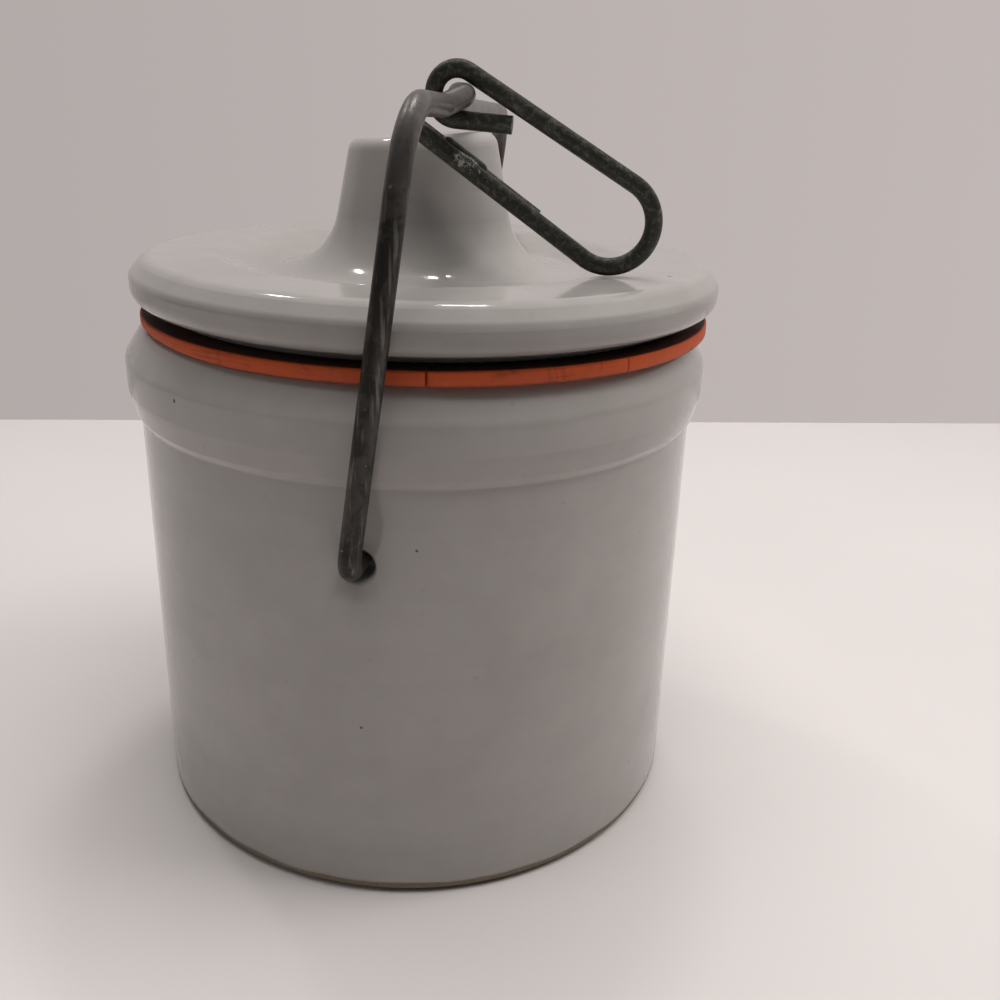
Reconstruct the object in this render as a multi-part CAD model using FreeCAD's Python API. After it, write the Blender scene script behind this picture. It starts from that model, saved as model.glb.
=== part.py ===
"""Stoneware preserving crock with a rubber-sealed lid and a wire bail closure.

Frame: millimetres, +Z up, origin at the centre of the base.  The bail pivots on
the Y axis direction (its two feet sit in blind holes at -Y and +Y) and its
lever points to +X.  Each piece is one solid, written to parts/NODE.step.
"""
import os
from math import asin, atan2, cos, hypot, radians, sin, tan

import FreeCAD, Part
from FreeCAD import Vector

# ---------------------------------------------------------------- sizes, mm
# Crock body
base_radius = 48.5            # outside, just above the foot
neck_radius = 48.1            # outside, just under the collar
collar_radius = 49.8          # the widest band, under the rim
body_height = 85.4
wall = 5.5
floor_thickness = 6.5
foot_recess = 0.8             # hollow of the base inside the foot ring
foot_ring = 7.0               # width of the unglazed ring it stands on
collar_drop = 17.6            # rim down to the step under the collar
collar_lip = 0.9              # how far the collar's lower edge stands out
rim_land = 3.7                # flat top of the rim that carries the gasket

# Gasket, a flat rubber ring
gasket_radius = 48.3
gasket_width = 7.0
gasket_thickness = 2.3
gasket_shift = 1.4            # how far the ring lies off centre, toward +X

# Lid
lid_radius = 49.4
lid_thickness = 8.8           # seat to the crest of the lid's edge
crest_radius = 35.0           # inner edge of the flat crest
hollow_radius = 27.0          # inside this the top is the floor of a ring hollow
hollow_depth = 2.8            # crest to that floor
lid_shift = 1.5               # how far the lid sits off centre, toward +X
knob_shift = 0.5              # and the knob, which isn't quite in the lid's middle
lid_lift = 1.5                # height of the outer edge above the gasket
seat_width = 4.0              # band of the underside that presses on the gasket
spigot_clearance = 1.0        # between the locating ring and the mouth at its nearest
spigot_depth = 4.1            # locating ring below the seat
spigot_wall = 3.3
lid_recess = 0.8              # hollow of the underside above the seat

# Knob, a trumpet that is one piece with the lid
knob_top_radius = 12.0
knob_height = 27.8            # seat to the middle of the top
knob_taper = 0.20             # growth of the radius per mm going down
knob_flare = 11.0             # radius of the sweep into the lid
knob_edge = 2.5               # rounding of the top edge
knob_top_slope = 4.3          # degrees, the top rises toward +X

# Bail, one galvanised wire
bail_wire = 3.2
pivot_drop = 26.2             # rim down to the line the bail turns on
foot_lift = 0.5               # centre of the holes below that line, the bail being pulled up
foot_rise = 0.8               # slope of the feet, out of the holes and upward
hole_play = 2.0               # hole diameter over the wire's
hole_floor = 1.2              # wall left behind each blind hole
foot_clearance = 0.5          # wire end to the bottom of its hole
leg_clearance = 0.6           # legs to the edge of the lid
leg_lean = 0.0475             # inward lean of the legs per mm of height
bar_clearance = 2.5           # crossbar to the top of the knob
crossbar_slope = 0.02         # rise of the crossbar toward -Y, per mm
bail_lean = 7.5               # degrees, toward +X, resting
corner_bend = 9.0
foot_bend = 3.2
kink_bend = 2.2               # the crossbar's kink, which keeps the lever in place
kink = [                      # (toward +Y of the lever, rise, bulge toward +X)
    (-7.5, 0.0, 0.0),
    (-3.0, 1.9, 2.3),
    (2.5, 1.9, 0.3),
    (6.5, 0.0, 0.0),
]

# Lever, one darker wire hooked over the crossbar
lever_wire = 2.65
lever_clearance = 0.3         # folded wire to the flank of the knob
lever_play = 0.55             # hook's bend over the wire it runs on
hook_shift = 0.6              # hook's centre toward -X of the saddle
finger_length = 8.2           # free end of the hook, past its centre
finger_drop = 3.6             # degrees that the free end dips
loop_length = 29.0            # hook's centre to the centre of the round end
loop_bend = 6.5               # radius of the round end
rest_gap = 0.2                # round end to the lid it lies on
tail_reach = 6.6              # hook's centre to the folded end, along X
tail_drop = 4.6               # and below the hook's centre
fold_gap = 0.2                # between the folded wire and the run beside it
fold_length = 22.5
weld_length = 6.0
weld_radius = 1.25
weld_place = 8.5              # weld's middle, from the fold

# ---------------------------------------------------------------- derived
foot_radius = base_radius - foot_ring
mouth_radius = neck_radius - wall
rim_top = body_height
seat_height = rim_top + gasket_thickness
gasket_bore = gasket_radius - gasket_width
spigot_radius = (min(mouth_radius - abs(lid_shift), gasket_bore - abs(lid_shift - gasket_shift))
                 - spigot_clearance)
lid_crest = seat_height + lid_thickness
knob_top = seat_height + knob_height
pivot_height = rim_top - pivot_drop
hole_diameter = bail_wire + hole_play
hole_depth = wall - hole_floor
leg_radius = (max(lid_radius, gasket_radius, collar_radius) + leg_clearance + bail_wire / 2
              + leg_lean * (lid_crest - pivot_height))
bail_rise = (knob_top + bar_clearance + bail_wire / 2 - pivot_height) / cos(radians(bail_lean))
fold_spacing = lever_wire + fold_gap
knob_flank = knob_top_radius + knob_taper * (knob_top - lid_crest) / 2
lever_offset = knob_flank + lever_clearance + fold_spacing + lever_wire / 2
hook_bend = (bail_wire + lever_wire) / 2 + lever_play


# ---------------------------------------------------------------- helpers
def rounded_path(corners):
    """Edges through corners (point, radius); inner corners become arcs."""
    edges, start = [], corners[0][0]
    for (before, _), (corner, radius), (after, _) in zip(corners, corners[1:], corners[2:]):
        into = (before - corner).normalize()
        out = (after - corner).normalize()
        turn = into.getAngle(out)
        if radius <= 0:
            tangent_in = tangent_out = corner
        else:
            reach = radius / tan(turn / 2)
            tangent_in, tangent_out = corner + into * reach, corner + out * reach
        if (tangent_in - start).Length > 1e-6:
            edges.append(Part.makeLine(start, tangent_in))
        if radius > 0:
            middle_way = (into + out).normalize()
            middle = corner + middle_way * (radius / sin(turn / 2) - radius)
            edges.append(Part.Arc(tangent_in, middle, tangent_out).toShape())
        start = tangent_out
    edges.append(Part.makeLine(start, corners[-1][0]))
    return edges


def revolved(outline):
    """Solid of revolution about Z from (radius, height, rounding) corners.

    The outline starts and ends on the axis."""
    corners = [(Vector(r, 0, z), rounding) for r, z, rounding in outline]
    edges = rounded_path(corners)
    edges.append(Part.makeLine(corners[-1][0], corners[0][0]))
    face = Part.Face(Part.Wire(edges))
    return face.revolve(Vector(0, 0, 0), Vector(0, 0, 1), 360)


def swept_wire(edges, diameter):
    """Round wire along tangent edges."""
    path = Part.Wire(edges)
    start = edges[0].valueAt(edges[0].FirstParameter)
    along = edges[0].tangentAt(edges[0].FirstParameter)
    section = Part.Wire(Part.makeCircle(diameter / 2, start, along))
    return path.makePipeShell([section], True, False)


def belt(circles):
    """Edges of a wire running clockwise round (x, z, radius) circles.

    A radius of zero is an end point; straight runs are common tangents.
    Returned in the plane y = 0."""
    headings = []
    for (x0, z0, r0), (x1, z1, r1) in zip(circles, circles[1:]):
        length = hypot(x1 - x0, z1 - z0)
        headings.append(atan2(z1 - z0, x1 - x0) + asin((r1 - r0) / length))

    def touch(circle, angle):
        x, z, r = circle
        return Vector(x - r * sin(angle), 0, z + r * cos(angle))

    edges = []
    for i, heading in enumerate(headings):
        edges.append(Part.makeLine(touch(circles[i], heading), touch(circles[i + 1], heading)))
        if i + 1 < len(headings):
            turn = (heading - headings[i + 1]) % radians(360)
            edges.append(Part.Arc(touch(circles[i + 1], heading),
                                  touch(circles[i + 1], heading - turn / 2),
                                  touch(circles[i + 1], headings[i + 1])).toShape())
    return edges


# ---------------------------------------------------------------- pieces
def crock_body():
    step = rim_top - collar_drop
    body = revolved([
        (0, foot_recess, 0),
        (foot_radius - foot_recess, foot_recess, 0.5),
        (foot_radius, 0, 0.5),
        (base_radius, 0, 2.2),
        (neck_radius, step, 0.8),
        (neck_radius + collar_lip, step + 1.2, 0.9),
        (collar_radius, step + 6.0, 3.0),
        (collar_radius, rim_top - 4.8, 2.5),
        (collar_radius - 2.4, rim_top - 1.1, 2.0),
        (mouth_radius + rim_land, rim_top, 1.5),
        (mouth_radius, rim_top, 1.2),
        (mouth_radius, floor_thickness, 6.0),
        (0, floor_thickness, 0),
    ])
    for side in (-1, 1):
        body = body.cut(bail_hole(side))
    return body


def wall_radius_at_pivot():
    """Outside radius of the crock where the bail enters."""
    share = pivot_height / (rim_top - collar_drop)
    return base_radius + (neck_radius - base_radius) * share


def bail_hole(side):
    """Blind hole on the Y axis direction, its mouth eased by a small bevel."""
    surface = wall_radius_at_pivot()
    level = pivot_height - foot_lift
    bottom = Vector(0, side * (surface - hole_depth), level)
    outward = Vector(0, side, 0)
    drill = Part.makeCylinder(hole_diameter / 2, hole_depth + 5, bottom, outward)
    bevel = 0.5
    mouth = Part.makeCone(hole_diameter / 2, hole_diameter / 2 + 3 * bevel, 3 * bevel,
                          Vector(0, side * (surface - bevel), level), outward)
    return drill.fuse(mouth)


def gasket():
    edge = 0.45
    ring = revolved_ring([
        (gasket_bore, rim_top, edge),
        (gasket_radius, rim_top, edge),
        (gasket_radius - 0.1, seat_height, edge),
        (gasket_bore, seat_height, edge),
    ])
    ring.translate(Vector(gasket_shift, 0, 0))
    return ring


def revolved_ring(corners):
    """Ring about Z from a closed outline of (radius, height, rounding)."""
    (r0, z0, _), (r1, z1, _) = corners[-1], corners[0]
    start = (Vector((r0 + r1) / 2, 0, (z0 + z1) / 2), 0)
    loop = [start] + [(Vector(r, 0, z), rounding) for r, z, rounding in corners] + [start]
    face = Part.Face(Part.Wire(rounded_path(loop)))
    return face.revolve(Vector(0, 0, 0), Vector(0, 0, 1), 360)


def lid():
    seat_inner = spigot_radius + 0.2
    seat_outer = seat_inner + seat_width
    plate = revolved([
        (0, seat_height + lid_recess, 0),
        (spigot_radius - spigot_wall, seat_height + lid_recess, 1.2),
        (spigot_radius - spigot_wall, seat_height - spigot_depth, 1.0),
        (spigot_radius, seat_height - spigot_depth, 1.0),
        (seat_inner, seat_height, 0.3),
        (seat_outer, seat_height, 0.8),
        (seat_outer + 1.2, seat_height + lid_lift, 0.8),
        (lid_radius, seat_height + lid_lift, 2.9),
        (lid_radius, lid_crest - 2.6, 1.8),
        (lid_radius - 2.6, lid_crest, 2.6),
        (0, lid_crest, 0),
    ])
    plate.translate(Vector(lid_shift, 0, 0))
    socket = Part.makeCylinder(crest_radius + 1.5, lid_thickness, Vector(knob_shift, 0, knob_root()))
    solid = plate.cut(socket).fuse(knob()).removeSplitter()
    return solid


def knob_root():
    """Level inside the lid's plate where the knob's solid begins."""
    return seat_height + 0.35 * lid_thickness


def knob():
    """Trumpet with a sloped top and the hollow round its foot, down into the plate."""
    margin = 4.0                                   # cut off by the sloped top
    hollow_floor = lid_crest - hollow_depth
    neck_foot = knob_top_radius + knob_taper * (knob_top - hollow_floor)
    tip_radius = knob_top_radius - knob_taper * margin
    solid = revolved([
        (0, knob_root(), 0),
        (crest_radius + 1.5, knob_root(), 0),
        (crest_radius + 1.5, lid_crest, 0),
        (crest_radius, lid_crest, 6.0),
        (hollow_radius, hollow_floor, 4.0),
        (neck_foot, hollow_floor, knob_flare),
        (tip_radius, knob_top + margin, 0),
        (0, knob_top + margin, 0),
    ])
    solid = solid.cut(above_plane(knob_top, knob_top_slope, 3 * margin))
    rings = [edge for edge in solid.Edges if edge.isClosed() and edge.Length > knob_top_radius]
    solid = solid.makeFillet(knob_edge, [max(rings, key=lambda edge: edge.BoundBox.ZMax)])
    solid.translate(Vector(knob_shift, 0, 0))
    return solid


def above_plane(height, slope, thickness):
    """Block whose underside crosses the axis at a height and rises toward +X."""
    reach = 4 * knob_top_radius
    block = Part.makeBox(reach, reach, thickness, Vector(-reach / 2, -reach / 2, 0))
    block.rotate(Vector(0, 0, 0), Vector(0, 1, 0), -slope)
    block.translate(Vector(0, 0, height))
    return block


def bail_point(y, height, bulge=0.0):
    """Point of the leaning bail from its own plane's y and height."""
    lean = radians(bail_lean)
    return Vector(height * sin(lean) + bulge * cos(lean), y,
                  pivot_height + height * cos(lean) - bulge * sin(lean))


def crossbar_height(y):
    return bail_rise - crossbar_slope * y


def saddle():
    """Centre of the bail wire where it passes through the lever's hook."""
    (y0, rise0, bulge0), (y1, rise1, bulge1) = kink[1], kink[2]
    share = -y0 / (y1 - y0)
    rise = rise0 + (rise1 - rise0) * share
    bulge = bulge0 + (bulge1 - bulge0) * share
    return bail_point(-lever_offset, crossbar_height(-lever_offset) + rise, bulge)


def bail():
    foot_end = wall_radius_at_pivot() - hole_depth + foot_clearance
    near_top = crossbar_height(-leg_radius)
    far_top = crossbar_height(leg_radius)
    bends = [(bail_point(y - lever_offset, crossbar_height(y - lever_offset) + rise, bulge),
              kink_bend) for y, rise, bulge in kink]
    edges = rounded_path([
        (bail_point(-foot_end, 0), 0),
        (bail_point(-leg_radius, foot_rise), foot_bend),
        (bail_point(-leg_radius + leg_lean * near_top, near_top), corner_bend),
        *bends,
        (bail_point(leg_radius - leg_lean * far_top, far_top), corner_bend),
        (bail_point(leg_radius, foot_rise), foot_bend),
        (bail_point(foot_end, 0), 0),
    ])
    return swept_wire(edges, bail_wire)


def lever():
    axle = saddle()
    hook = (axle.x - hook_shift, axle.z, hook_bend)
    dip = radians(finger_drop)
    finger = (hook[0] + finger_length * cos(dip),
              hook[1] - hook_bend - finger_length * sin(dip), 0)
    drop = hook[1] - (lid_crest + rest_gap + lever_wire / 2 + loop_bend)
    reach = (loop_length ** 2 - drop ** 2) ** 0.5
    round_end = (hook[0] + reach, hook[1] - drop, loop_bend)
    fold = (hook[0] - tail_reach, hook[1] - tail_drop, 0)
    edges = belt([finger, hook, round_end, fold])

    # the folded end: a tight return bend toward the knob, then a run back beside itself
    last = edges[-1]
    start = last.valueAt(last.FirstParameter)
    turn = last.valueAt(last.LastParameter)
    along = (turn - start).normalize()
    across = Vector(0, fold_spacing, 0)
    edges.append(Part.Arc(turn, turn + across / 2 + along * (fold_spacing / 2),
                          turn + across).toShape())
    edges.append(Part.makeLine(turn + across, turn + across - along * fold_length))

    wire = swept_wire(edges, lever_wire)
    up = Vector(-along.z, 0, along.x)
    if up.z < 0:
        up = up * -1
    weld_start = turn + across / 2 - along * (weld_place - weld_length / 2) + up * (lever_wire / 4)
    weld = Part.makeCylinder(weld_radius, weld_length, weld_start, along * -1)
    for end in (weld_start, weld_start - along * weld_length):
        weld = weld.fuse(Part.makeSphere(weld_radius, end))
    solid = wire.fuse(weld)
    solid.translate(Vector(0, -lever_offset, 0))
    return solid


PIECES = {
    "crock_body": crock_body,
    "gasket": gasket,
    "lid": lid,
    "bail": bail,
    "lever": lever,
}

os.makedirs("parts", exist_ok=True)
for node, make in PIECES.items():
    shape = make()
    solids = shape.Solids
    if len(solids) != 1 or not solids[0].isValid():
        raise ValueError(f"{node}: {len(solids)} solids")
    solids[0].exportStep(f"parts/{node}.step")
    print(node, "volume cm3", round(solids[0].Volume / 1000, 2),
          "box", [round(v, 2) for v in (shape.BoundBox.XMin, shape.BoundBox.XMax, shape.BoundBox.YMin,
                                        shape.BoundBox.YMax, shape.BoundBox.ZMin, shape.BoundBox.ZMax)])
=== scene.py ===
"""Finishes and setting for a glazed stoneware preserving crock with a wire bail closure."""
import math

import bmesh
import bpy
from bpy.props import FloatProperty, FloatVectorProperty, IntProperty, PointerProperty
from bpy.types import Operator, Panel, PropertyGroup
from mathutils import Matrix, Vector, noise


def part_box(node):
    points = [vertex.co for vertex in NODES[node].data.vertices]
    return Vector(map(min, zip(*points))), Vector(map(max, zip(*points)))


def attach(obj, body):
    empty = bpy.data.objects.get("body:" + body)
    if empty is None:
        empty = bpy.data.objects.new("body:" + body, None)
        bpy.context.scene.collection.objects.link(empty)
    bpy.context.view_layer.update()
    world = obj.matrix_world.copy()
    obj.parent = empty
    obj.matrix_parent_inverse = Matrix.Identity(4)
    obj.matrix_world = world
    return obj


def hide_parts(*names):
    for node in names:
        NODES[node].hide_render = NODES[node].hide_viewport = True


bl_info = {
    "name": "Preserving Crock",
    "version": (1, 0, 0),
    "blender": (4, 5, 0),
    "location": "View3D > Sidebar > Crock",
    "description": "Glaze, rubber and wire finishes for a preserving crock, and its setting",
    "category": "Object",
}

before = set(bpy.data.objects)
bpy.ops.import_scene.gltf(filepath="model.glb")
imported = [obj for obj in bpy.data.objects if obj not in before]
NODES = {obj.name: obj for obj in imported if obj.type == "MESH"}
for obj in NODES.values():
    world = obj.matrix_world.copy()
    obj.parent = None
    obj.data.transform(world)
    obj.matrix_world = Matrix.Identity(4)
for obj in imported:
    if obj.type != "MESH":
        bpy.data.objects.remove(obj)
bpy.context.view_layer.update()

MM = 0.001
MERGE_GAP = 0.001 * MM


# ------------------------------------------------------------------ node helpers
def new_group(name, inputs, outputs):
    """Empty shader node group with float inputs {name: default} and typed outputs."""
    group = bpy.data.node_groups.new(name, "ShaderNodeTree")
    for socket, default in inputs.items():
        kind = "NodeSocketVector" if default is None else "NodeSocketFloat"
        item = group.interface.new_socket(name=socket, in_out="INPUT", socket_type=kind)
        if default is not None:
            item.default_value = default
    for socket, kind in outputs.items():
        group.interface.new_socket(name=socket, in_out="OUTPUT", socket_type=kind)
    return group, group.nodes.new("NodeGroupInput"), group.nodes.new("NodeGroupOutput")


class Tree:
    """Short calls for adding and linking nodes in one tree."""

    def __init__(self, tree):
        self.tree = tree

    def add(self, kind, **values):
        node = self.tree.nodes.new(kind)
        for key, value in values.items():
            setattr(node, key, value)
        return node

    def link(self, source, target):
        self.tree.links.new(source, target)

    def put(self, socket, value):
        """Link an output to the socket, or set the socket's own value."""
        if isinstance(value, bpy.types.NodeSocket):
            self.link(value, socket)
        else:
            socket.default_value = value

    def math(self, operation, a, b=0.0, c=0.0, clamp=False):
        node = self.add("ShaderNodeMath", operation=operation, use_clamp=clamp)
        for socket, value in zip(node.inputs, (a, b, c)):
            self.put(socket, value)
        return node.outputs[0]

    def noise(self, vector, scale, detail=3.0, roughness=0.5, distortion=0.0):
        node = self.add("ShaderNodeTexNoise")
        self.link(vector, node.inputs["Vector"])
        self.put(node.inputs["Scale"], scale)
        node.inputs["Detail"].default_value = detail
        node.inputs["Roughness"].default_value = roughness
        node.inputs["Distortion"].default_value = distortion
        return node.outputs["Fac"]

    def cells(self, vector, scale):
        node = self.add("ShaderNodeTexVoronoi", feature="F1")
        self.link(vector, node.inputs["Vector"])
        self.put(node.inputs["Scale"], scale)
        return node.outputs["Distance"], node.outputs["Color"]

    def ramp(self, value, low, high, to_low=0.0, to_high=1.0):
        """Smooth step from to_low at low to to_high at high; low may be the larger."""
        node = self.add("ShaderNodeMapRange", clamp=True, interpolation_type="SMOOTHSTEP")
        for socket, item in zip(node.inputs, (value, low, high, to_low, to_high)):
            self.put(socket, item)
        return node.outputs["Result"]

    def mix(self, share, a, b, blend="MIX"):
        node = self.add("ShaderNodeMix", data_type="RGBA", blend_type=blend)
        self.put(node.inputs[0], share)
        self.put(node.inputs[6], a)
        self.put(node.inputs[7], b)
        return node.outputs[2]

    def stretch(self, vector, scale):
        """Coordinates scaled by axis, so that a noise of scale 1 runs in streaks."""
        node = self.add("ShaderNodeMapping")
        self.link(vector, node.inputs["Vector"])
        node.inputs["Scale"].default_value = scale
        return node.outputs["Vector"]

    def split(self, vector):
        node = self.add("ShaderNodeSeparateXYZ")
        self.link(vector, node.inputs[0])
        return node.outputs

    def group(self, group, vector, **values):
        node = self.add("ShaderNodeGroup", node_tree=group)
        self.link(vector, node.inputs["Vector"])
        for key, value in values.items():
            self.put(node.inputs[key.replace("_", " ")], value)
        return node.outputs

    def bump(self, height, depth, strength=1.0, normal=None):
        node = self.add("ShaderNodeBump")
        node.inputs["Strength"].default_value = strength
        node.inputs["Distance"].default_value = depth
        self.link(height, node.inputs["Height"])
        if normal is not None:
            self.link(normal, node.inputs["Normal"])
        return node.outputs["Normal"]


def new_material(name):
    """Material with its Principled shader, a Tree, and its Object coordinates."""
    material = bpy.data.materials.new(name)
    material.use_nodes = True
    tree = Tree(material.node_tree)
    shader = material.node_tree.nodes["Principled BSDF"]
    coords = tree.add("ShaderNodeTexCoord").outputs["Object"]
    return material, tree, shader, coords


def color(value, share=1.0):
    """RGBA of a colour, each channel times a share and at most 1."""
    return (*(min(1.0, c * share) for c in value[:3]), 1.0)


# ------------------------------------------------------------------ shared effects
def specks_group():
    """Scattered small round marks: a mask that is 1 on a mark."""
    name = "Scattered Specks"
    if name in bpy.data.node_groups:
        return bpy.data.node_groups[name]
    group, start, end = new_group(
        name, {"Vector": None, "Scale": 120.0, "Share": 0.1, "Size": 0.16},
        {"Mask": "NodeSocketFloat"})
    t = Tree(group)
    wobble = t.add("ShaderNodeTexNoise")
    t.link(start.outputs["Vector"], wobble.inputs["Vector"])
    wobble.inputs["Scale"].default_value = 900.0
    shift = t.add("ShaderNodeVectorMath", operation="MULTIPLY_ADD")
    t.link(wobble.outputs["Color"], shift.inputs[0])
    shift.inputs[1].default_value = (0.0006, 0.0006, 0.0006)
    t.link(start.outputs["Vector"], shift.inputs[2])
    distance, tint = t.cells(shift.outputs[0], start.outputs["Scale"])
    parts = t.add("ShaderNodeSeparateColor")
    t.link(tint, parts.inputs[0])
    chosen = t.math("LESS_THAN", parts.outputs[0], start.outputs["Share"])
    width = t.math("MULTIPLY", start.outputs["Size"],
                   t.math("MULTIPLY_ADD", parts.outputs[1], 0.8, 0.35))
    near = t.math("SUBTRACT", 1.0, t.math("DIVIDE", distance, width), clamp=True)
    mask = t.math("MULTIPLY", t.ramp(near, 0.0, 0.5), chosen)
    t.link(mask, end.inputs["Mask"])
    return group


def mottle_group():
    """Soft uneven tone in two sizes, 0 to 1 about a middle of 0.5."""
    name = "Soft Mottle"
    if name in bpy.data.node_groups:
        return bpy.data.node_groups[name]
    group, start, end = new_group(
        name, {"Vector": None, "Scale": 20.0, "Contrast": 1.0}, {"Value": "NodeSocketFloat"})
    t = Tree(group)
    broad = t.noise(start.outputs["Vector"], start.outputs["Scale"], 3.0, 0.55, 0.4)
    fine = t.noise(start.outputs["Vector"],
                   t.math("MULTIPLY", start.outputs["Scale"], 9.0), 4.0, 0.6)
    both = t.math("MULTIPLY_ADD", fine, 0.35, t.math("MULTIPLY", broad, 0.65))
    value = t.math("MULTIPLY_ADD", t.math("SUBTRACT", both, 0.5),
                   t.math("MULTIPLY", start.outputs["Contrast"], 2.4), 0.5, clamp=True)
    t.link(value, end.inputs["Value"])
    return group


def wear_group():
    """Patchy wear: a mask of rubbed places with ragged edges."""
    name = "Patchy Wear"
    if name in bpy.data.node_groups:
        return bpy.data.node_groups[name]
    group, start, end = new_group(
        name, {"Vector": None, "Scale": 200.0, "Amount": 0.4, "Softness": 0.1},
        {"Mask": "NodeSocketFloat"})
    t = Tree(group)
    patch = t.noise(start.outputs["Vector"], start.outputs["Scale"], 5.0, 0.68, 0.6)
    level = t.math("SUBTRACT", 0.72, t.math("MULTIPLY", start.outputs["Amount"], 0.4))
    top = t.math("ADD", level, start.outputs["Softness"])
    t.link(t.ramp(patch, level, top), end.inputs["Mask"])
    return group


# ------------------------------------------------------------------ settings
class CrockGlazeSettings(PropertyGroup):
    """Stoneware glaze of the crock and its lid."""
    light: FloatVectorProperty(
        name="Light glaze", description="Glaze where it lies thick", subtype="COLOR",
        size=3, min=0.0, max=1.0, default=(0.380, 0.356, 0.338))
    dark: FloatVectorProperty(
        name="Dark glaze", description="Glaze where it lies thin", subtype="COLOR",
        size=3, min=0.0, max=1.0, default=(0.325, 0.303, 0.286))
    iron: FloatVectorProperty(
        name="Iron specks", description="Dark specks burnt through the glaze",
        subtype="COLOR", size=3, min=0.0, max=1.0, default=(0.045, 0.034, 0.026))
    clay: FloatVectorProperty(
        name="Bare clay", description="Unglazed clay of the foot", subtype="COLOR",
        size=3, min=0.0, max=1.0, default=(0.230, 0.180, 0.125))
    # painted shade: the lid has the body's glaze darkened, standing in for the darker light on the
    # lid's rim and knob
    lid_shade_tone: FloatProperty(
        name="Lid tone", description="Lightness of the lid's glaze beside the body's",
        default=0.88, min=0.0, max=1.2)
    bare_height: FloatProperty(
        name="Bare foot", description="Height that the glaze was wiped off to",
        default=2.3 * MM, min=0.0, max=0.02, unit="LENGTH")
    gloss: FloatProperty(
        name="Roughness", description="Roughness of the glaze", default=0.11,
        min=0.02, max=1.0, subtype="FACTOR")
    ripple: FloatProperty(
        name="Ripple", description="Depth of the throwing ripples under the glaze",
        default=0.10 * MM, min=0.0, max=0.002, unit="LENGTH")


class CrockRubberSettings(PropertyGroup):
    """The rubber sealing ring."""
    rubber: FloatVectorProperty(
        name="Rubber", description="Colour of the rubber", subtype="COLOR",
        size=3, min=0.0, max=1.0, default=(0.425, 0.066, 0.016))
    # Dark rubber: grime in streaks and stains, the darker lower edge, and painted shade on the
    # ring's top under the lid
    grime_and_shade: FloatVectorProperty(
        name="Grime", description="Darkened rubber along the edges", subtype="COLOR",
        size=3, min=0.0, max=1.0, default=(0.060, 0.022, 0.012))
    sections: IntProperty(
        name="Sections", description="Sections round the ring", default=360, min=90, max=720)
    waviness: FloatProperty(
        name="Waviness", description="How uneven the ring's outer edge is",
        default=0.22 * MM, min=0.0, max=0.0008, unit="LENGTH")
    lift: FloatProperty(
        name="Lift", description="How far the ring stands off the rim at the left front",
        default=0.6 * MM, min=0.0, max=0.001, unit="LENGTH")
    crack_angle: FloatProperty(
        name="Crack", description="Where the ring has split", default=math.radians(-80),
        min=-math.pi, max=math.pi, subtype="ANGLE", unit="ROTATION")
    seam_angle: FloatProperty(
        name="Seam", description="Where a faint nick shows", default=math.radians(-43.5),
        min=-math.pi, max=math.pi, subtype="ANGLE", unit="ROTATION")


class CrockWireSettings(PropertyGroup):
    """Galvanised bail and dark lever."""
    zinc: FloatVectorProperty(
        name="Zinc", description="Dull galvanised wire", subtype="COLOR",
        size=3, min=0.0, max=1.0, default=(0.170, 0.160, 0.152))
    # Tarnish in patches and streaks, and painted shade down the bail's legs
    tarnish_and_shade: FloatVectorProperty(
        name="Tarnish", description="Darkened zinc", subtype="COLOR",
        size=3, min=0.0, max=1.0, default=(0.026, 0.024, 0.020))
    scale: FloatVectorProperty(
        name="Black scale", description="Oxidised skin of the lever", subtype="COLOR",
        size=3, min=0.0, max=1.0, default=(0.039, 0.040, 0.032))
    scuff: FloatVectorProperty(
        name="Scuffs", description="Metal rubbed bare", subtype="COLOR",
        size=3, min=0.0, max=1.0, default=(0.165, 0.158, 0.138))
    weld: FloatVectorProperty(
        name="Weld", description="Ash-grey crust of the weld", subtype="COLOR",
        size=3, min=0.0, max=1.0, default=(0.420, 0.405, 0.375))


class CrockStageSettings(PropertyGroup):
    """Table, wall, lamps and camera."""
    table: FloatVectorProperty(
        name="Table", description="Colour of the table top", subtype="COLOR",
        size=3, min=0.0, max=1.0, default=(0.612, 0.572, 0.558))
    wall: FloatVectorProperty(
        name="Wall", description="Colour of the wall behind", subtype="COLOR",
        size=3, min=0.0, max=1.0, default=(0.500, 0.450, 0.438))
    table_depth: FloatProperty(
        name="Table depth", description="From the crock's middle to the table's far edge",
        default=0.2095, min=0.08, max=2.0, unit="LENGTH")
    table_turn: FloatProperty(
        name="Table turn", description="Turn of the table about the vertical",
        default=math.radians(11.56), min=-1.0, max=1.0, subtype="ANGLE", unit="ROTATION")
    key_power: FloatProperty(
        name="Key lamp", description="Power of the window lamp in watts",
        default=2.4, min=0.0, max=100.0)
    fill_level: FloatProperty(
        name="Fill", description="Brightness of the room's own light",
        default=0.09, min=0.0, max=5.0)
    ceiling_power: FloatProperty(
        name="Ceiling lamp", description="Power of the broad overhead lamp in watts",
        default=6.2, min=0.0, max=100.0)
    side_power: FloatProperty(
        name="Side lamp", description="Power of the weak lamp at the left in watts",
        default=0.62, min=0.0, max=100.0)
    bulb_power: FloatProperty(
        name="Bulbs", description="Power of each small bright bulb in watts",
        default=0.40, min=0.0, max=100.0)
    lens: FloatProperty(
        name="Lens", description="Focal length of the camera", default=36.13,
        min=10.0, max=200.0, unit="CAMERA")


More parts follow.
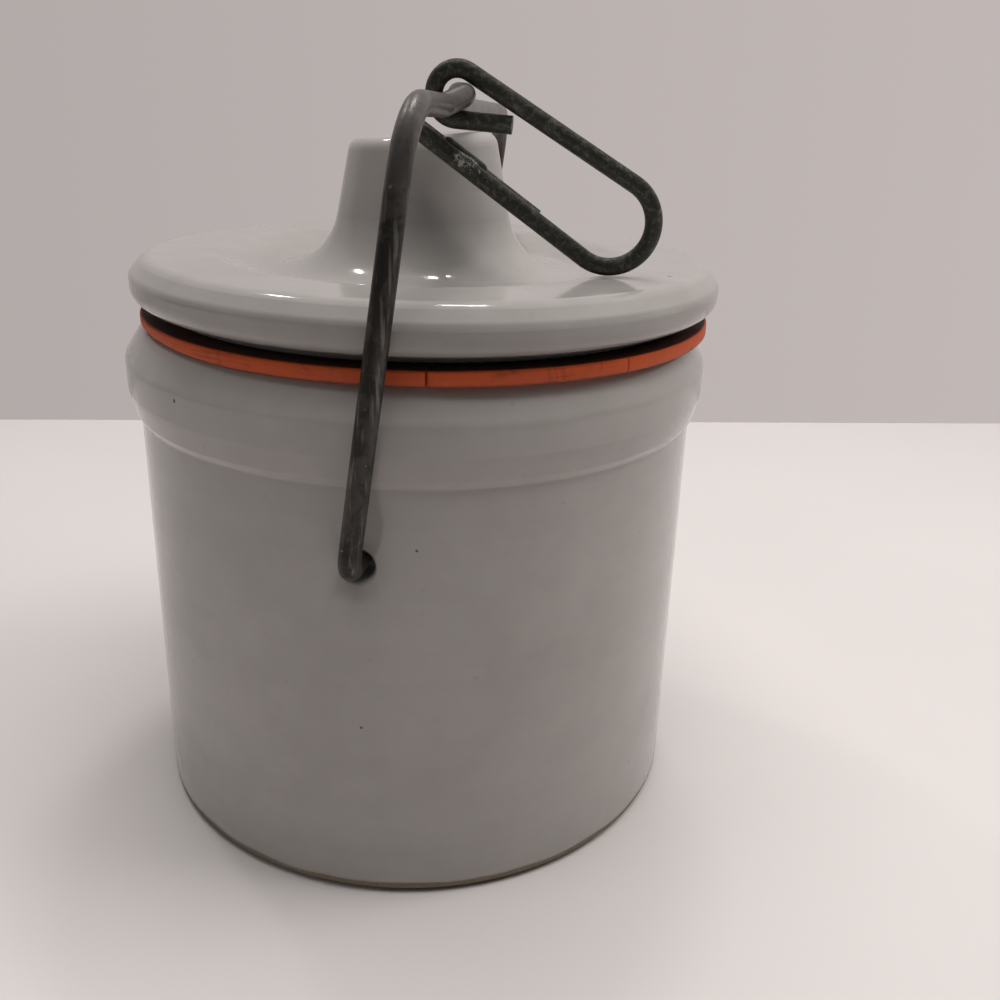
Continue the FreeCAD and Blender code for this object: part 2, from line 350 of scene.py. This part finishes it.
# ------------------------------------------------------------------ glazed stoneware
# Single iron spots: a place on the glaze and a radius, in mm.
BODY_SPOTS = (((17.3, -45.8, 74.6), 0.34), ((8.5, -47.4, 61.6), 0.28), ((0.1, -48.3, 31.7), 0.30),
              ((-28.2, -41.0, 79.4), 0.40), ((-40.6, -26.0, 52.0), 0.34), ((33.0, 36.0, 44.0), 0.45),
              ((-22.0, 43.0, 66.0), 0.38), ((46.5, 13.0, 24.0), 0.36))
LID_SPOTS = (((-4.4, -49.0, 96.1), 0.40), ((-30.0, 24.0, 96.5), 0.42), ((22.0, 30.0, 96.4), 0.36),
             ((14.3, 2.0, 104.0), 0.30))


def single_spots(t, coords, spots):
    """Mask of single spots given as ((x, y, z), radius) in millimetres."""
    mask = None
    for place, radius in spots:
        gap = t.add("ShaderNodeVectorMath", operation="DISTANCE")
        t.link(coords, gap.inputs[0])
        gap.inputs[1].default_value = [v * MM for v in place]
        spot = t.ramp(gap.outputs["Value"], radius * MM, radius * 0.5 * MM)
        mask = spot if mask is None else t.math("MAXIMUM", mask, spot)
    return mask


def glaze_material(name, settings, spots, foot, shade_share=1.0):
    """Glossy stoneware glaze; with foot, bare clay shows at the very bottom. The last argument
    darkens both glaze colours, which paints shade into the lid's copy.
    """
    # the glaze's own tone, then freckles, iron specks and the single spots
    material, t, shader, coords = new_material(name)
    mottle = t.group(mottle_group(), coords, Scale=17.0, Contrast=0.8)["Value"]
    bands = t.noise(t.stretch(coords, (5.0, 5.0, 170.0)), 1.0, 4.0, 0.6)
    tone = t.math("MULTIPLY_ADD", bands, 0.35, t.math("MULTIPLY", mottle, 0.65))
    # a share below 1 darkens both colours: painted shade, used for the lid
    glaze = t.mix(t.ramp(tone, 0.25, 0.75), color(settings.dark, shade_share),
                  color(settings.light, shade_share))
    freckles = t.group(specks_group(), coords, Scale=520.0, Share=0.06, Size=0.26)["Mask"]
    glaze = t.mix(t.math("MULTIPLY", freckles, 0.10), glaze, color(settings.iron))
    iron = t.group(specks_group(), coords, Scale=95.0, Share=0.04, Size=0.055)["Mask"]
    glaze = t.mix(t.math("MULTIPLY", iron, 0.9), glaze, color(settings.iron))
    glaze = t.mix(t.math("MULTIPLY", single_spots(t, coords, spots), 0.9), glaze,
                  color(settings.iron))
    pits = t.group(specks_group(), coords, Scale=240.0, Share=0.05, Size=0.10)["Mask"]
    rough = t.math("MULTIPLY_ADD", mottle, 0.07, settings.gloss - 0.035)
    height = t.math("SUBTRACT", t.noise(t.stretch(coords, (26.0, 26.0, 150.0)), 1.0, 2.0, 0.4),
                    t.math("MULTIPLY", pits, 0.5))
    if foot:
        # the wiped foot, with a wavy upper edge
        z = t.split(coords)[2]
        edge = t.math("MULTIPLY_ADD", t.noise(coords, 90.0, 3.0), 1.4 * MM,
                      settings.bare_height - 0.7 * MM)
        bare = t.ramp(t.math("SUBTRACT", z, edge), 0.00025, -0.00025)
        grain = t.noise(coords, 2200.0, 4.0, 0.7)
        clay = t.mix(t.ramp(grain, 0.35, 0.7), color(settings.clay, 0.72),
                     color(settings.clay))
        glaze = t.mix(bare, glaze, clay)
        rough = t.math("ADD", rough, t.math("MULTIPLY", bare, 0.62))
        height = t.math("ADD", height, t.math("MULTIPLY", t.math("MULTIPLY", bare, grain), 0.5))
    t.link(glaze, shader.inputs["Base Color"])
    t.link(rough, shader.inputs["Roughness"])
    shader.inputs["IOR"].default_value = 1.52
    waves = t.bump(height, settings.ripple)
    peel = t.bump(t.noise(coords, 330.0, 2.0, 0.5), 0.02 * MM, 0.8, waves)
    t.link(peel, shader.inputs["Normal"])
    return material


# Heights in mm before and after the slide of the collar's lip; between them the slide
# is in proportion. Points nearer the axis than OUTSIDE_RADIUS stay where they are.
LIP_SLIDE = ((62.0, 62.0), (67.0, 70.0), (69.5, 72.6), (80.6, 80.6))
OUTSIDE_RADIUS = 46.9 * MM
BODY_SHARP_ANGLE = math.radians(40)


def slid_height(z):
    """Height of a point of the outside once the collar's lip has slid up, both in mm."""
    for (low, low_to), (high, high_to) in zip(LIP_SLIDE, LIP_SLIDE[1:]):
        if low <= z < high:
            return low_to + (high_to - low_to) * (z - low) / (high - low)
    return z


class CROCK_OT_body(Operator):
    """Make the crock's body, with its collar's lip at its full height, and glaze it"""
    bl_idname = "crock.body"
    bl_label = "Make Body"

    def execute(self, context):
        settings = context.scene.crock_glaze
        mesh = NODES["crock_body"].data.copy()
        mesh.name = "stoneware_body"
        mesh.materials.clear()
        bm = bmesh.new()
        bm.from_mesh(mesh)
        bmesh.ops.remove_doubles(bm, verts=bm.verts, dist=MERGE_GAP)
        for v in bm.verts:
            if math.hypot(v.co.x, v.co.y) > OUTSIDE_RADIUS:
                v.co.z = slid_height(v.co.z / MM) * MM
        bm.to_mesh(mesh)
        bm.free()
        mesh.shade_smooth()
        mesh.set_sharp_from_angle(angle=BODY_SHARP_ANGLE)
        mesh.materials.append(
            glaze_material("stoneware_body_glaze", settings, BODY_SPOTS, True))
        body = bpy.data.objects.new("stoneware_body", mesh)
        context.scene.collection.objects.link(body)
        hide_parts("crock_body")
        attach(body, "crock")
        return {"FINISHED"}


class CROCK_OT_lid_glaze(Operator):
    """Glaze the lid"""
    bl_idname = "crock.lid_glaze"
    bl_label = "Glaze Lid"

    def execute(self, context):
        settings = context.scene.crock_glaze
        # the lid's glaze is the body's, darkened as painted shade
        assign("lid", glaze_material("stoneware_lid_glaze", settings, LID_SPOTS,
                                     False, settings.lid_shade_tone))
        return {"FINISHED"}


def assign(node, material):
    """The material takes every slot of a CAD node."""
    slots = NODES[node].material_slots
    if not slots:
        raise RuntimeError(f"{node} has no material slot")
    for slot in slots:
        slot.material = material


# ------------------------------------------------------------------ rubber ring
RING_INSET = 0.05 * MM          # kept inside the CAD ring's edge
RING_WIDTH = 6.9 * MM
RING_ROUNDING = 0.5 * MM
SLIT_REACH = 3 * MM             # faces this near to a slit are cut along its edges
CRACK_SIZE = (0.20 * MM, 1.3 * MM)      # half width and depth
NICK_SIZE = (0.14 * MM, 0.5 * MM)
LIFT_MIDDLE = -146              # degrees round the ring
LIFT_REACH = 34                 # degrees to either side
LIFT_RUN = 4 * MM               # from the inner edge to the full lift
WORN_DEPTH = 2.5 * MM           # how far in the outer edge's wear reaches


def ring_profile(lowest, highest, inner, outer, rounding):
    """Corner points (radius, height) of the ring's section, inner top first."""
    r, steps, points = rounding, 3, []
    corners = ((inner + r, highest - r, 180, 90), (outer - r, highest - r, 90, 0),
               (outer - r, lowest + r, 0, -90), (inner + r, lowest + r, -90, -180))
    for cx, cz, first, last in corners:
        for i in range(steps + 1):
            a = math.radians(first + (last - first) * i / steps)
            points.append((cx + r * math.cos(a), cz + r * math.sin(a)))
    return points


class CROCK_OT_rubber_ring(Operator):
    """Make the uneven rubber ring with its split and nick"""
    bl_idname = "crock.rubber_ring"
    bl_label = "Make Rubber Ring"

    def execute(self, context):
        settings = context.scene.crock_rubber
        low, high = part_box("gasket")
        middle = (low + high) / 2
        outer = (high.x - low.x) / 2 - RING_INSET
        inner = outer - RING_WIDTH
        bm = bmesh.new()
        profile = ring_profile(low.z, high.z, inner, outer, RING_ROUNDING)
        verts = [bm.verts.new((r, 0, z)) for r, z in profile]
        edges = [bm.edges.new((a, b)) for a, b in zip(verts, verts[1:] + verts[:1])]
        bmesh.ops.spin(bm, geom=verts + edges, cent=(0, 0, 0), axis=(0, 0, 1),
                       angle=2 * math.pi, steps=settings.sections, use_merge=True,
                       use_duplicate=False)
        bmesh.ops.remove_doubles(bm, verts=bm.verts, dist=MERGE_GAP)
        self.split_open(bm, settings.crack_angle, *CRACK_SIZE, inner, outer)
        self.split_open(bm, settings.seam_angle, *NICK_SIZE, inner, outer)
        self.lift_edge(bm, settings.lift, inner, (low.z + high.z) / 2)
        self.wear_edge(bm, settings.waviness, outer)
        bmesh.ops.recalc_face_normals(bm, faces=bm.faces)
        bmesh.ops.translate(bm, verts=bm.verts, vec=(middle.x, middle.y, 0))
        mesh = bpy.data.meshes.new("rubber_ring")
        bm.to_mesh(mesh)
        bm.free()
        mesh.shade_smooth()
        ring = bpy.data.objects.new("rubber_ring", mesh)
        context.scene.collection.objects.link(ring)
        mesh.materials.append(rubber_material(settings, low.z, high.z, outer, middle))
        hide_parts("gasket")
        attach(ring, "crock")
        return {"FINISHED"}

    @staticmethod
    def split_open(bm, angle, half_width, depth, inner, outer):
        """A narrow radial slit in the outer edge."""
        this_side = inner * 0.9
        along = Vector((math.cos(angle), math.sin(angle), 0))
        across = Vector((-along.y, along.x, 0))
        for side in (-1.0, -0.35, 0.35, 1.0):
            near = [f for f in bm.faces
                    if f.calc_center_median().dot(along) > this_side
                    and abs(f.calc_center_median().dot(across)) < SLIT_REACH]
            geom = near + list({e for f in near for e in f.edges}) \
                + list({v for f in near for v in f.verts})
            bmesh.ops.bisect_plane(bm, geom=geom, dist=1e-7,
                                   plane_co=across * (side * half_width), plane_no=across)
        for v in bm.verts:
            offset = abs(v.co.dot(across))
            reach = v.co.dot(along)
            if reach > this_side and offset < half_width * 0.6 and reach > outer - depth:
                v.co -= along * min(depth, reach - (outer - depth)) * 0.9

    @staticmethod
    def lift_edge(bm, lift, inner, level):
        """The ring's lower face stands off the rim at the left front."""
        for v in bm.verts:
            radius = math.hypot(v.co.x, v.co.y)
            angle = math.degrees(math.atan2(v.co.y, v.co.x))
            near = max(0.0, 1 - abs(angle - LIFT_MIDDLE) / LIFT_REACH)
            outward = min(1.0, max(0.0, (radius - inner) / LIFT_RUN))
            if v.co.z < level:
                v.co.z += lift * outward * near * near * (3 - 2 * near)

    @staticmethod
    def wear_edge(bm, waviness, outer):
        """Outer edge slightly uneven, always inside the ring's true outline."""
        for v in bm.verts:
            flat = Vector((v.co.x, v.co.y, 0))
            share = max(0.0, (flat.length - outer + WORN_DEPTH) / WORN_DEPTH)
            if share <= 0:
                continue
            slow = Vector((flat.x * 55, flat.y * 55, 3.1))
            fine = Vector((flat.x * 420, flat.y * 420, v.co.z * 300 + 7.7))
            pull = 0.5 + 0.5 * noise.noise(slow) + 0.22 * noise.noise(fine)
            v.co -= flat.normalized() * share * waviness * max(0.0, pull)


def rubber_material(settings, low, high, outer, middle):
    """Matt aged rubber with grime in streaks and stains, darker along its lower edge, and nearly
    black on top, where painted shade stands for the lid's shadow.
    """
    material, t, shader, coords = new_material("aged_red_rubber")
    x, y, z = t.split(coords)[:3]
    radius = t.math("SQRT", t.math("ADD", t.math("POWER", t.math("SUBTRACT", x, middle.x), 2.0),
                                   t.math("POWER", t.math("SUBTRACT", y, middle.y), 2.0)))
    depth = t.math("SUBTRACT", z, low)
    wobble = t.math("MULTIPLY_ADD", t.noise(coords, 420.0, 4.0, 0.7), 0.7 * MM, -0.3 * MM)
    edge = t.ramp(t.math("ADD", depth, wobble), 0.55 * MM, 0.05 * MM)
    on_side = t.ramp(radius, outer - 1.2 * MM, outer - 0.5 * MM)
    mottle = t.group(mottle_group(), coords, Scale=90.0, Contrast=1.2)["Value"]
    base = t.mix(mottle, color(settings.rubber), color(settings.rubber, 1.25))
    base = t.mix(t.math("MULTIPLY", t.math("MULTIPLY", edge, on_side), 0.55), base,
                 color(settings.grime_and_shade))
    lines = t.noise(t.stretch(coords, (60.0, 60.0, 2600.0)), 1.0, 3.0, 0.6)
    base = t.mix(t.ramp(lines, 0.52, 0.70, 0.0, 0.42), base, color(settings.grime_and_shade))
    stain = t.group(wear_group(), coords, Scale=260.0, Amount=0.45, Softness=0.16)["Mask"]
    base = t.mix(t.math("MULTIPLY", stain, 0.50), base, color(settings.grime_and_shade))
    # painted shade: the ring's top under the lid is darkened nearly to black, standing in for the
    # lid's shadow
    top = t.ramp(t.math("ADD", z, t.math("MULTIPLY", wobble, 0.25)), high - 0.16 * MM,
                 high - 0.02 * MM)
    top = t.math("MULTIPLY", top, t.ramp(radius, outer - 0.20 * MM, outer - 0.55 * MM))
    base = t.mix(t.math("MULTIPLY", top, 0.97), base, color(settings.grime_and_shade, 0.30))
    t.link(base, shader.inputs["Base Color"])
    t.link(t.math("MULTIPLY_ADD", mottle, 0.18, 0.50), shader.inputs["Roughness"])
    shader.inputs["Specular IOR Level"].default_value = 0.30
    relief = t.math("MULTIPLY_ADD", lines, 0.6, t.noise(coords, 900.0, 4.0, 0.65))
    t.link(t.bump(relief, 0.07 * MM), shader.inputs["Normal"])
    return material


# ------------------------------------------------------------------ wires
def galvanised_material(settings):
    """Dull zinc with patches and streaks of tarnish, darker down the legs, where painted shade
    stands for the dark reflections on the lower legs.
    """
    material, t, shader, coords = new_material("galvanised_wire")
    z = t.split(coords)[2]
    low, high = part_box("bail")
    # painted shade: the wire darkens down the legs, standing in for the dark reflections there
    down = t.ramp(z, high.z - 3 * MM, high.z - 17 * MM)
    streaks = t.noise(t.stretch(coords, (700.0, 700.0, 120.0)), 1.0, 4.0, 0.6)
    patches = t.group(wear_group(), coords, Scale=170.0, Amount=0.75, Softness=0.16)["Mask"]
    dirt_and_shade = t.math("ADD", t.math("MULTIPLY", down, 0.80), t.math("MULTIPLY", patches, 0.22),
                  clamp=True)
    dirt_and_shade = t.math("ADD", dirt_and_shade, t.math("MULTIPLY_ADD", streaks, 0.4, -0.2), clamp=True)
    base = t.mix(dirt_and_shade, color(settings.zinc), color(settings.tarnish_and_shade))
    specks = t.group(specks_group(), coords, Scale=900.0, Share=0.16, Size=0.22)["Mask"]
    base = t.mix(t.math("MULTIPLY", specks, 0.55), base, color(settings.zinc, 1.6))
    shader.inputs["Metallic"].default_value = 0.75
    lines = t.ramp(t.noise(t.stretch(coords, (1500.0, 1500.0, 90.0)), 1.0, 3.0, 0.55), 0.56, 0.70)
    base = t.mix(t.math("MULTIPLY", lines, 0.55), base, color(settings.zinc))
    t.link(base, shader.inputs["Base Color"])
    rough = t.math("MULTIPLY_ADD", dirt_and_shade, 0.10, 0.34)
    t.link(t.math("MULTIPLY_ADD", lines, -0.08, rough), shader.inputs["Roughness"])
    grain = t.math("ADD", t.noise(coords, 1500.0, 4.0, 0.7), t.math("MULTIPLY", streaks, 0.8))
    t.link(t.bump(grain, 0.05 * MM, 0.9), shader.inputs["Normal"])
    return material


def scale_material(settings):
    """Nearly black oxidised wire with rubbed, lighter scuffs."""
    material, t, shader, coords = new_material("black_scale_wire")
    rubbed = t.group(wear_group(), coords, Scale=430.0, Amount=0.42, Softness=0.12)["Mask"]
    fine = t.group(wear_group(), coords, Scale=1300.0, Amount=0.55, Softness=0.12)["Mask"]
    bare = t.math("ADD", t.math("MULTIPLY", rubbed, 0.48), t.math("MULTIPLY", fine, 0.40),
                  clamp=True)
    base = t.mix(bare, color(settings.scale), color(settings.scuff))
    t.link(base, shader.inputs["Base Color"])
    shader.inputs["Metallic"].default_value = 0.55
    t.link(t.math("MULTIPLY_ADD", bare, -0.10, 0.47), shader.inputs["Roughness"])
    grain = t.math("ADD", t.noise(coords, 1700.0, 4.0, 0.75),
                   t.math("MULTIPLY", t.noise(coords, 420.0, 3.0, 0.6), 1.2))
    t.link(t.bump(grain, 0.09 * MM), shader.inputs["Normal"])
    return material


def crust_material(settings):
    """Rough ash-grey crust of the weld."""
    material, t, shader, coords = new_material("weld_crust")
    patch = t.group(mottle_group(), coords, Scale=430.0, Contrast=2.2)["Value"]
    holes = t.group(specks_group(), coords, Scale=1500.0, Share=0.25, Size=0.25)["Mask"]
    base = t.mix(t.ramp(patch, 0.50, 0.78), color(settings.scale), color(settings.weld))
    base = t.mix(t.math("MULTIPLY", holes, 0.7), base, color(settings.scale))
    t.link(base, shader.inputs["Base Color"])
    shader.inputs["Metallic"].default_value = 0.3
    t.link(t.math("MULTIPLY_ADD", patch, 0.15, 0.55), shader.inputs["Roughness"])
    grain = t.math("SUBTRACT", t.noise(coords, 1400.0, 5.0, 0.75), t.math("MULTIPLY", holes, 0.5))
    t.link(t.bump(grain, 0.16 * MM), shader.inputs["Normal"])
    return material


class CROCK_OT_bail_finish(Operator):
    """Give the bail its galvanised finish"""
    bl_idname = "crock.bail_finish"
    bl_label = "Galvanise Bail"

    def execute(self, context):
        assign("bail", galvanised_material(context.scene.crock_wire))
        return {"FINISHED"}


class CROCK_OT_lever_finish(Operator):
    """Blacken the lever and lay the lumpy weld along its folded wire"""
    bl_idname = "crock.lever_finish"
    bl_label = "Finish Lever"

    WELD_ENDS = (Vector((7.6, -18.4, 113.75)) * MM, Vector((12.9, -18.4, 110.15)) * MM)
    WELD_OVERRUN = 0.9 * MM
    WELD_HALF_WIDTH = 1.50 * MM
    WELD_HALF_HEIGHT = 1.20 * MM

    def execute(self, context):
        settings = context.scene.crock_wire
        assign("lever", scale_material(settings))
        start, end = self.WELD_ENDS
        along = (end - start).normalized()
        side = Vector((0, 1, 0))
        upward = side.cross(along) * -1
        turn = Matrix((along, side, upward)).transposed().to_4x4()
        half = (end - start).length / 2
        bm = bmesh.new()
        bmesh.ops.create_icosphere(bm, subdivisions=5, radius=1.0)
        half_sizes = (half + self.WELD_OVERRUN, self.WELD_HALF_WIDTH, self.WELD_HALF_HEIGHT)
        bmesh.ops.scale(bm, vec=half_sizes, verts=bm.verts)
        for v in bm.verts:
            place = v.co * 1000
            lump = noise.noise(place * 0.75 + Vector((4.2, 1.7, 9.3)))
            grit = noise.noise(place * 2.6 + Vector((1.1, 8.4, 2.6)))
            v.co += v.co.normalized() * (lump * 0.30 + grit * 0.20) * MM
        bmesh.ops.transform(bm, matrix=Matrix.Translation((start + end) / 2) @ turn,
                            verts=bm.verts)
        mesh = bpy.data.meshes.new("weld_bead")
        bm.to_mesh(mesh)
        bm.free()
        mesh.shade_smooth()
        mesh.materials.append(crust_material(settings))
        bead = bpy.data.objects.new("weld_bead", mesh)
        context.scene.collection.objects.link(bead)
        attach(bead, "lever")
        return {"FINISHED"}


# ------------------------------------------------------------------ stage
CAMERA_PLACE = Vector((33.2, -174.3, 121.3)) * MM
CAMERA_AIM = Vector((-0.0955, 0.9233, -0.3713))
CAMERA_ROLL = 0.0336            # radians
TABLE_HALF_WIDTH = 1.6
TABLE_NEAR = 1.4                # from the table's far edge to its near edge
LAMP_TINT = (1.0, 0.985, 0.97)
BULB_RATIO = 1.8                # power of the right bulb to the left one
ROOM_TINT = (1.0, 0.98, 0.965)
WALL_RISE = 0.19                # painted light: the wall grows lighter toward +X
WALL_EDGE = (-0.05, 0.35)       # where it fades in, from the side to the back


def plane(name, corners, material):
    """Four-cornered stage surface."""
    bm = bmesh.new()
    bm.faces.new([bm.verts.new(c) for c in corners])
    mesh = bpy.data.meshes.new(name)
    bm.to_mesh(mesh)
    bm.free()
    mesh.materials.append(material)
    thing = bpy.data.objects.new(name, mesh)
    bpy.context.scene.collection.objects.link(thing)
    return thing


def plain_material(name, tone, roughness, depth):
    """Plain painted or laminated surface with a very faint grain."""
    material, t, shader, coords = new_material(name)
    soft = t.noise(coords, 14.0, 3.0, 0.5)
    base = t.mix(soft, color(tone, 0.96), color(tone, 1.03))
    t.link(base, shader.inputs["Base Color"])
    shader.inputs["Roughness"].default_value = roughness
    t.link(t.bump(t.noise(coords, 900.0, 3.0, 0.6), depth), shader.inputs["Normal"])
    return material


def room_world(settings):
    """Dim room light; the camera and reflections see the pale wall behind the table."""
    world = bpy.data.worlds.new("room")
    world.use_nodes = True
    t = Tree(world.node_tree)
    direction = t.add("ShaderNodeTexCoord").outputs["Generated"]
    x, y, _ = t.split(direction)[:3]
    # painted light: the wall grows lighter toward +X
    rise = t.math("MULTIPLY_ADD", x, WALL_RISE, 1.0)
    wall = t.mix(1.0, color(settings.wall), rise, "MULTIPLY")
    rays = t.add("ShaderNodeLightPath").outputs
    mirrored = t.math("MULTIPLY", t.ramp(y, *WALL_EDGE),
                      t.math("MAXIMUM", rays["Is Glossy Ray"], rays["Is Transmission Ray"]))
    share = t.math("MAXIMUM", rays["Is Camera Ray"], mirrored)
    dim = color(ROOM_TINT, settings.fill_level)
    t.link(t.mix(share, dim, wall), world.node_tree.nodes["Background"].inputs["Color"])
    return world


def lamp(name, place, target, size, power, mirrored):
    """Area lamp aimed at a point; mirrored lamps show as highlights in the glaze."""
    data = bpy.data.lights.new(name, "AREA")
    data.shape = "RECTANGLE"
    data.size, data.size_y = size
    data.energy = power
    data.color = LAMP_TINT
    thing = bpy.data.objects.new(name, data)
    thing.location = place
    aim = Vector(target) - Vector(place)
    thing.rotation_euler = aim.to_track_quat("-Z", "Y").to_euler()
    thing.visible_glossy = mirrored
    bpy.context.scene.collection.objects.link(thing)
    return thing


class CROCK_OT_stage(Operator):
    """Set the table, the room's light and wall, the lamps and the camera"""
    bl_idname = "crock.stage"
    bl_label = "Set Stage"

    def execute(self, context):
        scene = context.scene
        settings = scene.crock_stage
        turn = settings.table_turn
        away = Vector((-math.sin(turn), math.cos(turn), 0))
        right = Vector((math.cos(turn), math.sin(turn), 0))
        edge = away * settings.table_depth
        near = edge - away * TABLE_NEAR
        half = right * TABLE_HALF_WIDTH
        table = plain_material("table_top", settings.table, 0.6, 0.01 * MM)
        plane("table", [edge - half, near - half, near + half, edge + half], table)
        scene.world = room_world(settings)
        foot, middle, upper = (0.0, 0.0, 0.0), (0.0, 0.0, 0.05), (0.0, 0.0, 0.1)
        lamp("window", (0.46, 0.06, 0.56), (0.0, 0.0, 0.06), (0.35, 0.35),
             settings.key_power, False)
        lamp("ceiling", (0.02, 0.01, 0.85), foot, (0.8, 0.6), settings.ceiling_power, False)
        lamp("side", (-0.60, -0.22, 0.16), middle, (0.30, 0.50), settings.side_power, False)
        lamp("bulb_left", (-0.33, 0.26, 0.66), upper, (0.05, 0.03), settings.bulb_power, True)
        lamp("bulb_right", (0.024, 0.237, 0.76), upper, (0.10, 0.04),
             settings.bulb_power * BULB_RATIO, True)

        camera = bpy.data.cameras.new("camera")
        camera.lens = settings.lens
        camera.sensor_width = 36.0
        camera.clip_start = 0.01
        camera.clip_end = 20.0
        view = bpy.data.objects.new("camera", camera)
        scene.collection.objects.link(view)
        aim = CAMERA_AIM.normalized()
        side = aim.cross(Vector((0, 0, 1))).normalized()
        top = side.cross(aim)
        side, top = (side * math.cos(CAMERA_ROLL) + top * math.sin(CAMERA_ROLL),
                     top * math.cos(CAMERA_ROLL) - side * math.sin(CAMERA_ROLL))
        facing = Matrix((side, top, -aim)).transposed().to_4x4()
        view.matrix_world = Matrix.Translation(CAMERA_PLACE) @ facing
        scene.camera = view
        scene.view_settings.view_transform = "Standard"
        return {"FINISHED"}


# ------------------------------------------------------------------ panel
class CROCK_PT_panel(Panel):
    """Lists the crock's pieces and their settings"""
    bl_idname = "CROCK_PT_panel"
    bl_label = "Preserving Crock"
    bl_space_type = "VIEW_3D"
    bl_region_type = "UI"
    bl_category = "Crock"

    GROUPS = (
        ("crock_stage", CrockStageSettings, ("crock.stage",)),
        ("crock_glaze", CrockGlazeSettings, ("crock.body", "crock.lid_glaze")),
        ("crock_rubber", CrockRubberSettings, ("crock.rubber_ring",)),
        ("crock_wire", CrockWireSettings, ("crock.bail_finish", "crock.lever_finish")),
    )

    def draw(self, context):
        for name, kind, operators in self.GROUPS:
            box = self.layout.box()
            settings = getattr(context.scene, name)
            for prop in kind.__annotations__:
                box.prop(settings, prop)
            for operator in operators:
                box.operator(operator)


CLASSES = (
    CrockGlazeSettings, CrockRubberSettings, CrockWireSettings, CrockStageSettings,
    CROCK_OT_body, CROCK_OT_lid_glaze, CROCK_OT_rubber_ring, CROCK_OT_bail_finish,
    CROCK_OT_lever_finish, CROCK_OT_stage, CROCK_PT_panel,
)


def register():
    for cls in CLASSES:
        bpy.utils.register_class(cls)
    for name, kind, _ in CROCK_PT_panel.GROUPS:
        setattr(bpy.types.Scene, name, PointerProperty(type=kind))


def unregister():
    for name, _, _ in CROCK_PT_panel.GROUPS:
        delattr(bpy.types.Scene, name)
    for cls in reversed(CLASSES):
        bpy.utils.unregister_class(cls)


def main():
    register()
    bpy.ops.crock.stage()
    bpy.ops.crock.body()
    bpy.ops.crock.lid_glaze()
    bpy.ops.crock.rubber_ring()
    bpy.ops.crock.bail_finish()
    bpy.ops.crock.lever_finish()
    bpy.context.view_layer.update()


if __name__ == "__main__":
    main()
